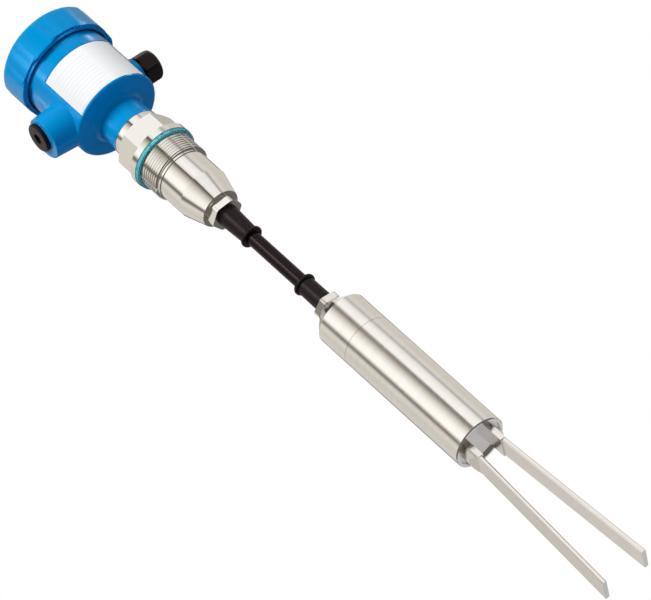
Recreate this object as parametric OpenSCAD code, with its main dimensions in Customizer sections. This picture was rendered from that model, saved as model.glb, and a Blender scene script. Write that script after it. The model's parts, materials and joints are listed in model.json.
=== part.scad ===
// Vibrating fork level switch on a short rope, in millimetres.
// The origin is on the fork's axis at the sealing face under the process gasket.
// +Z points up to the housing, the fork hangs down, and the two tines stand apart along X.

/* [Process connection] */
// Outside diameter of the process thread
thread_d = 47.8; // [46:0.1:52]
// Length of the process thread below the sealing face
thread_l = 18.2; // [14:0.1:26]
// Width of the relief groove at the end of the thread
undercut_w = 2.2; // [1:0.1:4]
// Depth of the relief groove below the thread's outside
undercut_depth = 1.7; // [0.8:0.1:2.4]
// Thickness of the fibre gasket
gasket_t = 3; // [1.5:0.1:4]
// Outside diameter of the fibre gasket
gasket_d = 53; // [51:0.1:60]
// Diameter of the round collar that presses on the gasket
collar_d = 54; // [52:0.5:62]
// Height of the round collar
collar_h = 6.3; // [5:0.1:10]
// Chamfer on the collar's upper edge
collar_edge = 0.8; // [0.3:0.1:1.5]
// Width of the hexagon across its flats
hex_af = 44; // [42:0.5:50]
// Height of the hexagon
hex_h = 19.2; // [14:0.1:28]
// Turn of the hexagon's corners from X, degrees
hex_turn = -6; // [-30:1:30]
// Diameter of the spigot that the housing turns on
spigot_d = 30; // [28:0.5:33]
// Diameter of the wire way through the connection
wire_way_d = 14; // [10:0.5:15]

/* [Swivel ring] */
// Outside diameter of the ring under the housing's neck
ring_d = 39.6; // [37:0.2:41]
// Height of the ring
ring_h = 6.6; // [4:0.1:8]

/* [Housing] */
// Turn of the housing on the process connection, degrees
head_turn = 6; // [-180:1:180]
// Outside diameter of the housing
body_d = 72.8; // [70:0.2:80]
// Height of the housing from its underside to the cover
body_h = 59.7; // [57:0.1:76]
// Radius of the rounded shoulder at the underside
shoulder_r = 2.4; // [1:0.1:9]
// Diameter of the neck
neck_d = 38.6; // [37:0.2:42]
// Length of the neck below the housing
neck_l = 23.2; // [18:0.1:30]
// Diameter of the neck's flared lip
lip_d = 40; // [39:0.2:44]
// Wall of the housing
housing_wall = 3.9; // [3.4:0.1:4.6]
// Thickness of the housing's floor
floor_t = 4.5; // [4:0.1:6]
// Height of the collar that the cover screws on
cover_thread_h = 14.8; // [12:0.1:18]
// Step from the housing's outside in to the collar that the cover screws on
cover_thread_step = 1.2; // [0.7:0.1:1.6]

/* [Cover] */
// How far the cover's grip pads stand out past the housing
cover_overhang = 5.8; // [5.2:0.1:8.6]
// Height of the cover
cover_h = 28; // [24:0.1:34]
// Thickness of the cover's top
cover_top_t = 3; // [2:0.1:4]
// Grip pads round the cover
grip_pads = 6; // [4:1:9]
// Height of a grip pad above the skirt between the pads
grip_step = 1.2; // [0.6:0.1:1.6]
// Rise of the skirt's lower edge between the pads
grip_rise = 2.6; // [1:0.1:4]
// Radius of the cover's upper edge
cover_edge_r = 4; // [2:0.5:6]

/* [Cable entries] */
// Height of the entries above the housing's underside
entry_rise = 22.5; // [22:0.1:32]
// Diameter of the entry thread
entry_d = 20; // [18:0.5:20]
// How far the long entry boss stands out past the housing
boss_l = 18; // [14:0.2:27]
// Diameter of the long boss at its end
boss_end_d = 33.6; // [30:0.2:36]
// Diameter of the long boss before it flares into the housing
boss_root_d = 37; // [34:0.2:40]
// Radius of the flare at the long boss's root
boss_flare_r = 3; // [1:0.5:4]
// How far the long boss's middle lies below the entry's axis
boss_drop = 3.2; // [0:0.1:3.6]
// How far the flat pad on the gland's side stands out past the housing
pad_rise = 0.4; // [0.4:0.1:9]
// Diameter of the flat pad on the gland's side
pad_d = 26; // [26:0.5:34]

/* [Blind plug] */
// Diameter of the plug's head
plug_d = 23.4; // [22.4:0.1:28]
// Thickness of the plug's head
plug_head_t = 3; // [2:0.1:5]
// Length of the plug's thread
plug_thread_l = 11; // [8:0.5:16]
// Width across the flats of the key socket
plug_socket_af = 8; // [5:0.5:10]

/* [Cable gland] */
// Width across the flats of the gland's nut
gland_nut_af = 23; // [22.4:0.1:28]
// Length of the gland's nut with its dome
gland_nut_l = 14.2; // [12.4:0.1:20]
// Turn of the nut's corners about the gland's axis, degrees
gland_nut_turn = 18; // [0:1:59]
// Diameter of the cable that the seal takes
cable_d = 10; // [6:0.5:11]

/* [Nameplate] */
// Height of the nameplate
plate_h = 43.6; // [30:0.2:46]
// Angle that the nameplate covers, degrees
plate_angle = 107; // [80:1:116]
// Thickness of the nameplate
plate_t = 0.25; // [0.15:0.05:0.4]
// Height of the nameplate's lower edge above the housing's underside
plate_rise = 2.2; // [2.2:0.1:12]

/* [Electronics] */
// Gap between the insert's base and the housing's wall
insert_gap = 1.5; // [0.8:0.1:3]
// Thickness of the insert's base
insert_base_t = 7; // [6:0.1:9]
// Width of the ledge round the insert's tower, between the cable entries
tower_ledge = 7; // [6.5:0.5:9]
// Height of the insert's tower
tower_h = 21; // [19:0.1:30]
// Terminals in the block
terminals = 4; // [3:1:5]
// Distance between terminals
terminal_pitch = 7.2; // [6:0.1:7.6]
// Travel of a setting slider
slider_travel = 2; // [1:0.1:3]

/* [Rope adapter] */
// Diameter of the adapter below the thread
adapter_d = 43; // [40:0.2:45]
// Length of the adapter's straight part
adapter_l = 23.2; // [18:0.2:34]
// Length of the adapter's cone
cone_l = 20.4; // [12:0.2:28]
// Diameter of the cone's small end
cone_end_d = 32; // [29:0.2:34]

/* [Rope and sleeves] */
// Diameter of the jacketed rope
rope_d = 11.4; // [9:0.1:12]
// Length of rope between the two sleeves
rope_free_l = 57.7; // [40:0.1:600]
// Width across the flats of the upper gland nut
nut_af = 24; // [23:0.5:25]
// Width across the flats of the lower gland nut
lower_nut_af = 21.6; // [20.6:0.2:25]
// Turn of the lower nut's corners from X, degrees
lower_nut_turn = 11; // [0:1:59]
// Height of a gland nut's hexagon
nut_hex_h = 5.8; // [4:0.1:8]
// Length of the neck between the nut and what it screws into
nut_neck_l = 2.4; // [1.5:0.1:4]
// Diameter of a sleeve where it leaves its nut
sleeve_root_d = 17.4; // [16:0.1:18]
// Diameter of a sleeve just before its bead
sleeve_end_d = 14.8; // [14.2:0.1:15.8]
// Diameter of the bead at a sleeve's end
bead_d = 18.2; // [16.4:0.1:20]
// Width of the bead
bead_w = 3.6; // [2.4:0.1:5]
// Length of the upper sleeve outside its nut
upper_sleeve_l = 29.7; // [20:0.1:50]
// Length of the lower sleeve outside its nut
lower_sleeve_l = 27.4; // [20:0.1:50]

/* [Sensor] */
// Diameter of the sensor tube
tube_d = 43; // [42:0.1:46]
// Wall of the sensor tube
tube_wall = 2.5; // [2:0.1:3]
// Height of the conical shoulder on the sensor's head
shoulder_h = 11; // [8:0.1:16]
// Length of the sensor's head below the shoulder, down to the weld
sensor_head_l = 29.2; // [26:0.1:50]
// Length of the tube from the weld to its rim
tube_l = 123.8; // [110:0.2:300]
// Depth of the membrane inside the tube's rim
membrane_recess = 2; // [1:0.1:4]
// Thickness of the membrane
membrane_t = 1.4; // [1:0.1:2]

/* [Fork] */
// Length of the tines below the tube's rim
tine_l = 154.7; // [120:0.2:180]
// Width of a tine
tine_w = 20; // [16:0.2:21]
// Thickness of a tine
tine_t = 3.6; // [3:0.1:4.4]
// Distance from the axis to the middle of a tine at the membrane
tine_root_x = 10; // [9:0.1:11]
// Distance from the axis to the middle of a tine at its tip
tine_tip_x = 18; // [12:0.1:18]
// Chamfer along the tine's edges
tine_chamfer = 0.9; // [0.3:0.1:1.2]
// Radius of the round outer face of a tine's root
root_r = 16.2; // [15.4:0.1:16.6]
// Length of a tine's root below the membrane
root_l = 16.5; // [10:0.1:24]
// Run of the slanted step from the root to the blade
root_step = 3.4; // [1:0.1:5]

/* [Drive] */
// Diameter of the piezo rings
piezo_d = 15; // [12:0.5:18]
// Thickness of a piezo ring
piezo_t = 2; // [1.5:0.1:3]
// Piezo rings in the stack
piezo_count = 6; // [2:1:8]
// Thickness of a contact washer
contact_t = 0.4; // [0.3:0.1:0.8]
// Diameter of the bolt through the stack
drive_bolt_d = 5; // [4:0.5:6]
// Length of the sensor's circuit board
board_l = 52; // [40:1:56]

/* [Fits] */
// Radial gap of pieces that turn or slide on each other
running_gap = 0.05; // [0.02:0.01:0.1]
// Gap between faces that pass each other
face_gap = 0.3; // [0.2:0.05:0.5]
// Radial gap round a fixed piece in its seat
seat_gap = 0.1; // [0.05:0.01:0.2]

/* [Hidden] */
$fn = 96;

// Points in one rounded corner of an outline
arc_steps = 8;

// Colours as they look on the object
blue = [0.0, 0.50, 0.83];
steel = [0.80, 0.78, 0.74];
black = [0.14, 0.12, 0.12];
teal = [0.13, 0.65, 0.70];

// Sizes that follow the housing's diameter
cavity_d = body_d - 2 * housing_wall;
cover_thread_d = body_d - 2 * cover_thread_step;
cover_d = body_d + 2 * cover_overhang;
boss_reach = body_d / 2 + boss_l;
pad_reach = body_d / 2 + pad_rise;
insert_d = cavity_d - 2 * insert_gap;
tower_d = insert_d - 2 * tower_ledge;

// Section of the cover's seal and height of its groove
seal_section = 1.4;
seal_groove_h = seal_section + 2 * running_gap;

// Radius of the nameplate's back and the margin of its field
plate_r = body_d / 2 - plate_t - seat_gap / 2;
plate_margin = 1;

// Heights along the axis, from the gasket up
z_collar = gasket_t;
z_hex = z_collar + collar_h;
z_ring = z_hex + hex_h;
z_lip = z_ring + ring_h + face_gap;
z_under = z_lip + neck_l;
z_floor = z_under + floor_t;
z_cover = z_under + body_h;
z_cover_top = z_cover + cover_h;
z_entry = z_under + entry_rise;
z_plate = z_under + plate_rise;
z_collar_foot = z_cover + seal_groove_h + face_gap;
z_collar_top = z_collar_foot + cover_thread_h;

// Heights along the axis, from the thread down
lower_neck_l = 0.4;
z_thread_end = -thread_l - undercut_w;
z_cone = z_thread_end - adapter_l;
z_cone_end = z_cone - cone_l;
z_upper_nut = z_cone_end - nut_neck_l;
z_upper_nut_end = z_upper_nut - nut_hex_h;
z_upper_bead = z_upper_nut_end - upper_sleeve_l;
z_lower_bead = z_upper_bead - rope_free_l;
z_lower_nut_top = z_lower_bead - lower_sleeve_l;
z_lower_nut = z_lower_nut_top - nut_hex_h;
z_sensor_top = z_lower_nut - lower_neck_l;
z_shoulder = z_sensor_top - shoulder_h;
z_seam = z_shoulder - sensor_head_l;
z_rim = z_seam - tube_l;
z_membrane = z_rim + membrane_recess;
z_tip = z_rim - tine_l;

// Adapter's and sensor head's inner joints
joint_wall = 4.5;
joint_d = adapter_d - 2 * joint_wall;
joint_setback = 4.2;
joint_l = thread_l - joint_setback;
nut_thread_step = 3;
nut_thread_d = nut_af - 2 * nut_thread_step;
nut_thread_l = 9;
nut_corner_cut = 0.6;
lower_corner_d = lower_nut_af / cos(30) - 2 * nut_corner_cut;
ferrule_l = 12;
ferrule_gap = 0.8;
ferrule_d = nut_thread_d - 2 * ferrule_gap;
head_way_d = wire_way_d - 4;
nut_bore_d = sleeve_root_d + 2 * seat_gap;
sleeve_bore_d = rope_d + 2 * running_gap;
rope_top_z = z_cone_end + nut_thread_l + ferrule_l;
rope_end_z = z_sensor_top - nut_thread_l - ferrule_l;
tube_bore_d = tube_d - 2 * tube_wall;
tube_socket_l = 8;

// Housing's seal and the groove for it in the cover
seal_d = body_d + 2 * running_gap + seal_section;
seal_groove_d = seal_d + seal_section + 2 * running_gap;
cover_skirt_d = cover_d - 2 * grip_step;
cover_lip_wall = 1.3;
cover_lip_d = seal_groove_d + 2 * cover_lip_wall;
cover_lip_rise = 0.3;
cover_collar_wall = 2.5;
grip_turn = -124;
grip_sunk = 0.6;
grip_foot_edge = 0.5;
grip_fade = 75;
grip_side_steps = 3;
grip_side_angle = 3;

// Neck's seal in the spigot
neck_seal_section = 1.8;
neck_seal_z = z_ring + ring_h + neck_l * 0.6;
neck_seal_d = spigot_d - neck_seal_section;

// Inside of the housing
insert_z = z_floor;
tower_z = insert_z + insert_base_t;
insert_top_z = tower_z + tower_h;
insert_screw_r = (insert_d + tower_d) / 4;
insert_screw_d = 3;
retainer_d = spigot_d + 6;
retainer_t = 1.6;
retainer_depth = 1;
spigot_top_z = z_floor + face_gap + retainer_t + 1.2;
insert_recess_d = retainer_d + 2;
insert_recess_h = spigot_top_z - z_floor + 1;

// Terminal block and settings on top of the insert
terminal_w = 9;
terminal_h = 9;
terminal_l = terminals * terminal_pitch + 2;
terminal_y = 6;
terminal_hole_d = 4.4;
terminal_screw_d = 3.8;
cage_w = 5;
cage_h = 5;
cage_z = 1.2;
bank_l = 14;
bank_w = 8;
bank_h = 5;
bank_y = -9;
slider_size = 1.8;
slider_h = 2.4;
slider_well = 1.6;
slider_spacing = 3.4;
led_d = 3;
led_spacing = 5;
led_y = -17.5;

// Where the entries start, inside the housing's wall, and the edge at the long boss's end
entry_root = cavity_d / 2 - housing_wall;
boss_edge = 0.6;

// Gland along its own axis, measured from the housing's axis
gland_gasket_t = 0.8;
gland_flange_t = 1.4;
gland_flange_af = entry_d + 2;
gland_flange = pad_reach + gland_gasket_t;
gland_spigot = gland_flange + gland_flange_t;
gland_spigot_l = 8;
gland_spigot_d = entry_d - 1.2;
gland_spigot_end = gland_spigot + gland_spigot_l;
gland_seat_d = entry_d - 5;
gland_seat_l = gland_spigot_l - 2.4;
gland_shank_l = 10.2;
gland_bore_d = cable_d + 2.4;
gland_nut_foot = gland_spigot + face_gap;
gland_nut_end = gland_nut_foot + gland_nut_l;
gland_nut_wall = 2.2;
gland_collar_l = gland_nut_end - gland_nut_wall - 2 * face_gap - gland_spigot_end;
gland_corner_d = gland_nut_af / cos(30) - 1;
gland_edge_r = 5;

// Plug along its own axis
plug_gap = face_gap;
plug_seal_section = 1.4;
plug_seal_d = entry_d + plug_seal_section;
plug_socket_depth = plug_head_t + 3;

// Drive stack on the membrane
hub_h = 3;
hub_d = 12;
insulator_t = 1.5;
stack_z = z_membrane + membrane_t + hub_h;
piezo_z = stack_z + insulator_t;
piezo_pitch = piezo_t + contact_t;
piezo_stack_h = piezo_count * piezo_pitch + contact_t;
top_insulator_z = piezo_z + piezo_stack_h;
drive_nut_z = top_insulator_z + insulator_t;
drive_nut_h = 5;
drive_nut_af = 10;
fork_ring_h = 14;
fork_ring_wall = 2.6;
tine_lean = atan((tine_tip_x - tine_root_x) / (z_membrane - z_tip));

// Sensor board and its carrier
board_w = 26;
board_t = 1.6;
carrier_h = 6;
carrier_z = z_seam - tube_socket_l - 2 - carrier_h;
board_slot_depth = 3;

// Points of an arc about a centre, for an outline
function arc(cx, cy, r, from, to) =
    [for (i = [0 : arc_steps]) let (a = from + (to - from) * i / arc_steps) [cx + r * cos(a), cy + r * sin(a)]];

// Outline of a bar's section with its four corners cut off
function cut_corners(x, y, c) = [
    [-x + c, -y], [x - c, -y], [x, -y + c], [x, y - c], [x - c, y], [-x + c, y], [-x, y - c], [-x, -y + c]
];

// Hexagon by its width across flats
module hex(af, h) {
    cylinder(h = h, d = af / cos(30), $fn = 6);
}

// Straight tube
module pipe(outer, inner, h) {
    difference() {
        cylinder(h = h, d = outer);
        translate([0, 0, -1])
            cylinder(h = h + 2, d = inner);
    }
}

// Ring with a round section
module o_ring(d, section) {
    rotate_extrude()
        translate([d / 2, 0])
            circle(d = section, $fn = 32);
}

// Turns a piece with the housing
module on_head() {
    rotate([0, 0, head_turn])
        children();
}

// Lays a piece along an entry's axis, with its Z pointing out: side 1 is the gland, side -1 the plug
module on_entry(side) {
    on_head()
        translate([0, 0, z_entry])
            rotate([0, side * 90, 0])
                children();
}

// Process connection

module process_connection() {
    color(steel)
        difference() {
            union() {
                translate([0, 0, z_thread_end])
                    cylinder(h = undercut_w + 1, d = thread_d - 2 * undercut_depth);
                translate([0, 0, -thread_l])
                    cylinder(h = thread_l, d = thread_d);
                translate([0, 0, -1])
                    cylinder(h = z_collar + 2, d = thread_d - 2 * undercut_depth);
                collar();
                connection_hex();
                translate([0, 0, z_ring - 1])
                    cylinder(h = spigot_top_z - z_ring + 1, d = spigot_d);
            }
            translate([0, 0, z_thread_end - 1])
                cylinder(h = spigot_top_z - z_thread_end + 2, d = wire_way_d);
            translate([0, 0, z_thread_end - 1])
                cylinder(h = joint_l + 1 + face_gap, d = joint_d + 2 * seat_gap);
            neck_seal_groove();
            translate([0, 0, z_floor + face_gap])
                pipe(spigot_d + 2, spigot_d - 2 * retainer_depth, retainer_t + seat_gap);
        }
}

module collar() {
    translate([0, 0, z_collar])
        cylinder(h = collar_h - collar_edge, d = collar_d);
    translate([0, 0, z_hex - collar_edge])
        cylinder(h = collar_edge, d1 = collar_d, d2 = collar_d - 2 * collar_edge);
}

module connection_hex() {
    sunk = 0.5;
    face_r = hex_af / 2 - 0.6;
    wide_r = hex_af / 2 + 6;
    outline = [
        [0, z_hex - sunk - 1], [wide_r, z_hex - sunk - 1],
        [wide_r, z_ring - (wide_r - face_r) * tan(30)], [face_r, z_ring], [0, z_ring]
    ];
    intersection() {
        translate([0, 0, z_hex - sunk])
            rotate([0, 0, hex_turn])
                hex(hex_af, hex_h + sunk + 1);
        rotate_extrude()
            polygon(outline);
    }
}

module neck_seal_groove() {
    groove_h = neck_seal_section + 2 * seat_gap;
    translate([0, 0, neck_seal_z - groove_h / 2])
        pipe(spigot_d + 2, spigot_d - 2 * neck_seal_section - 2 * seat_gap, groove_h);
}

module neck_seal() {
    color(black)
        translate([0, 0, neck_seal_z])
            o_ring(neck_seal_d, neck_seal_section);
}

module retaining_ring() {
    gap_w = 5;
    color(steel)
        translate([0, 0, z_floor + face_gap])
            difference() {
                pipe(retainer_d, spigot_d - 2 * retainer_depth + 2 * seat_gap, retainer_t);
                translate([0, -gap_w / 2, -1])
                    cube([retainer_d, gap_w, retainer_t + 2]);
            }
}

module process_gasket() {
    color(teal)
        pipe(gasket_d, thread_d + 2 * seat_gap, gasket_t);
}

module swivel_ring() {
    color(steel)
        translate([0, 0, z_ring])
            pipe(ring_d, spigot_d + 2 * seat_gap, ring_h);
}

// Housing and cover

module housing() {
    fillet_r = 5;
    lip_h = 2;
    body_r = body_d / 2;
    neck_r = neck_d / 2;
    outline = concat(
        [[0, z_lip], [lip_d / 2, z_lip], [lip_d / 2, z_lip + lip_h / 2], [neck_r, z_lip + 2 * lip_h]],
        [[neck_r, z_under - fillet_r]],
        arc(neck_r + fillet_r, z_under - fillet_r, fillet_r, 180, 90),
        arc(body_r - shoulder_r, z_under + shoulder_r, shoulder_r, -90, 0),
        [[body_r, z_collar_foot], [cover_thread_d / 2, z_collar_foot]],
        [[cover_thread_d / 2, z_collar_top], [0, z_collar_top]]
    );
    color(blue)
        difference() {
            union() {
                rotate_extrude()
                    polygon(outline);
                long_boss();
                on_entry(1)
                    translate([0, 0, entry_root])
                        cylinder(h = pad_reach - entry_root, d = pad_d);
            }
            translate([0, 0, z_floor])
                cylinder(h = z_collar_top - z_floor + 1, d = cavity_d);
            translate([0, 0, z_lip - 1])
                cylinder(h = z_floor - z_lip + 2, d = spigot_d + 2 * running_gap);
            for (side = [-1, 1])
                on_entry(side)
                    cylinder(h = boss_reach + 1, d = entry_d);
            on_entry(-1)
                translate([0, 0, boss_reach - plug_seal_section - plug_gap + seat_gap])
                    cylinder(h = plug_seal_section + 1, d = plug_seal_d + plug_seal_section + 2 * seat_gap);
            plate_field();
            insert_screw_places()
                translate([0, 0, z_under + 1])
                    cylinder(h = floor_t, d = insert_screw_d + 2 * seat_gap);
        }
}

// Long boss, which ends below at the housing's underside
module long_boss() {
    intersection() {
        on_entry(-1)
            translate([-boss_drop, 0, 0])
                rotate_extrude()
                    polygon(boss_outline());
        translate([-body_d, -body_d, z_under])
            cube([2 * body_d, 2 * body_d, body_h]);
    }
}

// Half section of the long boss, which flares where it meets the housing
function boss_outline() = concat(
    [[0, entry_root]],
    arc(boss_root_d / 2 + boss_flare_r, entry_root + boss_flare_r, boss_flare_r, 270, 180),
    [[boss_end_d / 2, boss_reach - boss_edge], [boss_end_d / 2 - boss_edge, boss_reach], [0, boss_reach]]
);

// Curved sheet on the housing's front, from one radius outward
module front_sheet(r, t, angle, z, h) {
    on_head()
        translate([0, 0, z])
            rotate([0, 0, -90 - angle / 2])
                rotate_extrude(angle = angle)
                    translate([r, 0])
                        square([t, h]);
}

// Shallow field in the housing that the nameplate lies in, a little larger than the plate
module plate_field() {
    angle = plate_angle + plate_margin * 360 / (PI * body_d) * 2;
    front_sheet(plate_r - seat_gap / 2, plate_t + 1, angle, z_plate - plate_margin, plate_h + 2 * plate_margin);
}

module nameplate() {
    color([0.90, 0.91, 0.92])
        front_sheet(plate_r, plate_t, plate_angle, z_plate, plate_h);
}

module cover() {
    color(blue)
        on_head()
            difference() {
                union() {
                    rotate_extrude()
                        polygon(skirt_outline());
                    grip_row();
                }
                translate([0, 0, z_cover - 1])
                    cylinder(h = seal_groove_h + 1, d = seal_groove_d);
                translate([0, 0, z_cover - 1])
                    cylinder(h = seal_groove_h + 1 + 2 * face_gap, d = body_d + 2 * face_gap);
                translate([0, 0, z_cover - 1])
                    cylinder(h = z_collar_top - z_cover + 1 + face_gap, d = cover_thread_d + 2 * seat_gap);
                translate([0, 0, z_cover - 1])
                    cylinder(h = cover_h - cover_top_t + 1, d = cover_thread_d - 2 * cover_collar_wall);
            }
}

// Half section of the cover without its grip pads
function skirt_outline() = concat(
    [[0, z_cover + cover_lip_rise], [cover_lip_d / 2, z_cover + cover_lip_rise]],
    [[cover_lip_d / 2, z_cover + grip_rise], [cover_skirt_d / 2, z_cover + grip_rise]],
    arc(cover_skirt_d / 2 - cover_edge_r, z_cover_top - cover_edge_r, cover_edge_r, 0, 90),
    [[0, z_cover_top]]
);

// Grip pads round the cover, whose sides come down to the skirt in small steps
module grip_row() {
    pad_span = 180 / grip_pads;
    middle = (grip_side_steps - 1) / 2;
    for (i = [0 : grip_pads - 1], k = [0 : grip_side_steps - 1])
        rotate([0, 0, grip_turn - head_turn + i * 360 / grip_pads - (k - middle) * grip_side_angle])
            rotate_extrude(angle = pad_span + 2 * (k - middle) * grip_side_angle)
                polygon(pad_outline(k / grip_side_steps));
}

// Half section of a grip pad, which starts inside the skirt and fades out below the cover's upper edge.
// Its share tells how far it is lowered towards the skirt.
function pad_outline(share) =
    let (inner_r = cover_lip_d / 2 - grip_sunk, outer_r = cover_d / 2 - share * grip_step)
    let (foot = z_cover + share * grip_rise)
    concat(
        [[inner_r, foot], [outer_r - grip_foot_edge, foot], [outer_r, foot + grip_foot_edge]],
        arc(outer_r - cover_edge_r, z_cover_top - cover_edge_r - grip_step, cover_edge_r, 0, grip_fade),
        [[inner_r, z_cover_top - 2 * cover_edge_r]]
    );

module cover_seal() {
    color(black)
        translate([0, 0, z_cover + running_gap + seal_section / 2])
            o_ring(seal_d, seal_section);
}

// Cable entries

module blind_plug() {
    edge = 0.8;
    color(black)
        on_entry(-1)
            difference() {
                union() {
                    translate([0, 0, boss_reach - plug_thread_l])
                        cylinder(h = plug_thread_l + plug_gap + 0.5, d = entry_d - 2 * running_gap);
                    translate([0, 0, boss_reach + plug_gap])
                        cylinder(h = plug_head_t - edge, d = plug_d);
                    translate([0, 0, boss_reach + plug_gap + plug_head_t - edge])
                        cylinder(h = edge, d1 = plug_d, d2 = plug_d - 2 * edge);
                }
                translate([0, 0, boss_reach + plug_gap + plug_head_t - plug_socket_depth])
                    hex(plug_socket_af, plug_socket_depth + 1);
            }
}

module plug_seal() {
    color(black)
        on_entry(-1)
            translate([0, 0, boss_reach + plug_gap - running_gap - plug_seal_section / 2])
                o_ring(plug_seal_d, plug_seal_section);
}

module gland_body() {
    color(black)
        on_entry(1)
            difference() {
                union() {
                    translate([0, 0, gland_flange - gland_shank_l])
                        cylinder(h = gland_shank_l + 1, d = entry_d - 2 * seat_gap);
                    translate([0, 0, gland_flange])
                        hex(gland_flange_af, gland_flange_t);
                    translate([0, 0, gland_spigot - 1])
                        cylinder(h = gland_spigot_l + 1, d = gland_spigot_d);
                }
                translate([0, 0, gland_flange - gland_shank_l - 1])
                    cylinder(h = gland_shank_l + gland_flange_t + gland_spigot_l + 2, d = gland_bore_d);
                translate([0, 0, gland_spigot_end - gland_seat_l])
                    cylinder(h = gland_seat_l + 1, d = gland_seat_d);
            }
}

module gland_gasket() {
    color(black)
        on_entry(1)
            translate([0, 0, pad_reach])
                pipe(gland_flange_af + 1, entry_d, gland_gasket_t);
}

module gland_seal() {
    color([0.22, 0.22, 0.22])
        on_entry(1)
            difference() {
                union() {
                    translate([0, 0, gland_spigot_end - gland_seat_l + face_gap])
                        cylinder(h = gland_seat_l + 1, d = gland_seat_d - 2 * running_gap);
                    translate([0, 0, gland_spigot_end + face_gap])
                        cylinder(h = gland_collar_l, d = gland_spigot_d - 2 * face_gap);
                }
                translate([0, 0, gland_spigot])
                    cylinder(h = gland_nut_l, d = cable_d);
            }
}

// Six-sided nut with a rounded end
module gland_nut() {
    nut_r = gland_corner_d / 2;
    mouth_r = gland_bore_d / 2 + 0.4;
    outline = concat(
        [[0, gland_nut_foot - 1], [nut_r, gland_nut_foot - 1]],
        arc(nut_r - gland_edge_r, gland_nut_end - gland_edge_r, gland_edge_r, 0, 90),
        [[0, gland_nut_end]]
    );
    color(black)
        on_entry(1)
            difference() {
                intersection() {
                    translate([0, 0, gland_nut_foot])
                        rotate([0, 0, gland_nut_turn])
                            hex(gland_nut_af, gland_nut_l + 1);
                    rotate_extrude()
                        polygon(outline);
                }
                translate([0, 0, gland_nut_foot - 1])
                    cylinder(h = gland_nut_l + 1 - gland_nut_wall, d = gland_spigot_d + 2 * running_gap);
                translate([0, 0, gland_nut_foot])
                    cylinder(h = gland_nut_l + 1, r = mouth_r);
            }
}

// Nameplate and electronics

// Two screws hold the insert down on the housing's floor
module insert_screw_places() {
    on_head()
        for (side = [-1, 1])
            translate([0, side * insert_screw_r, 0])
                children();
}

module electronics_insert() {
    color([0.16, 0.17, 0.18])
        on_head()
            difference() {
                union() {
                    translate([0, 0, insert_z])
                        cylinder(h = insert_base_t, d = insert_d);
                    translate([0, 0, tower_z - 1])
                        cylinder(h = tower_h + 1, d = tower_d);
                }
                translate([0, 0, insert_z - 1])
                    cylinder(h = insert_recess_h + 1, d = insert_recess_d);
                translate([0, 0, insert_z])
                    rotate([0, 0, -head_turn])
                        insert_screw_places()
                            cylinder(h = insert_base_t + 1, d = insert_screw_d + 2 * seat_gap);
            }
}

module insert_screws() {
    head_d = 5.6;
    head_h = 2.2;
    slot_w = 0.9;
    slot_depth = 1;
    color(steel)
        insert_screw_places()
            difference() {
                union() {
                    translate([0, 0, z_under + 1 + seat_gap])
                        cylinder(h = tower_z - z_under, d = insert_screw_d);
                    translate([0, 0, tower_z])
                        cylinder(h = head_h, d = head_d);
                }
                translate([-head_d, -slot_w / 2, tower_z + head_h - slot_depth])
                    cube([2 * head_d, slot_w, slot_depth + 1]);
            }
}

// Places of the terminals along the block
module terminal_places() {
    on_head()
        for (i = [0 : terminals - 1])
            translate([(i - (terminals - 1) / 2) * terminal_pitch, terminal_y, insert_top_z])
                children();
}

module terminal_block() {
    color([0.30, 0.33, 0.34])
        difference() {
            on_head()
                translate([-terminal_l / 2, terminal_y - terminal_w / 2, insert_top_z])
                    cube([terminal_l, terminal_w, terminal_h]);
            terminal_places()
                translate([0, 0, cage_z + cage_h])
                    cylinder(h = terminal_h, d = terminal_hole_d);
            terminal_places()
                translate([-cage_w / 2 - seat_gap, -terminal_w, cage_z - seat_gap])
                    cube([cage_w + 2 * seat_gap, 2 * terminal_w, cage_h + 2 * seat_gap]);
        }
}

module terminal_cages() {
    color([0.80, 0.66, 0.33])
        terminal_places()
            difference() {
                translate([-cage_w / 2, -terminal_w / 2 + 0.8, cage_z])
                    cube([cage_w, terminal_w - 1.6, cage_h]);
                translate([-cage_w / 2 + 1, -terminal_w, cage_z + 1])
                    cube([cage_w - 2, 2 * terminal_w, cage_h - 2.2]);
            }
}

module terminal_screws() {
    slot_w = 0.8;
    head_h = 1.8;
    color(steel)
        terminal_places()
            translate([0, 0, cage_z + cage_h])
                difference() {
                    cylinder(h = head_h, d = terminal_screw_d);
                    translate([-terminal_screw_d, -slot_w / 2, head_h - 0.9])
                        cube([2 * terminal_screw_d, slot_w, 2]);
                }
}

module switch_bank() {
    color([0.62, 0.12, 0.12])
        on_head()
            difference() {
                translate([-bank_l / 2, bank_y - bank_w / 2, insert_top_z])
                    cube([bank_l, bank_w, bank_h]);
                for (side = [-1, 1])
                    slider_well_at(side);
            }
}

// Long well that a slider runs in, on one side of the bank's middle
module slider_well_at(side) {
    well_l = slider_size + slider_travel + 2 * face_gap;
    well_w = slider_size + 2 * face_gap;
    translate([-slider_travel / 2 - slider_size / 2 - face_gap, 0, 0])
        translate([0, bank_y + side * slider_spacing / 2 - well_w / 2, insert_top_z + bank_h - slider_well])
            cube([well_l, well_w, slider_well + 1]);
}

// A setting slider at the left end of its well
module setting_slider(side) {
    color([0.93, 0.93, 0.90])
        on_head()
            translate([-slider_travel / 2 - slider_size / 2, bank_y + side * slider_spacing / 2 - slider_size / 2, 0])
                translate([0, 0, insert_top_z + bank_h - slider_well + face_gap])
                    cube([slider_size, slider_size, slider_h]);
}

module mode_slider() {
    setting_slider(1);
}

module density_slider() {
    setting_slider(-1);
}

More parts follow.
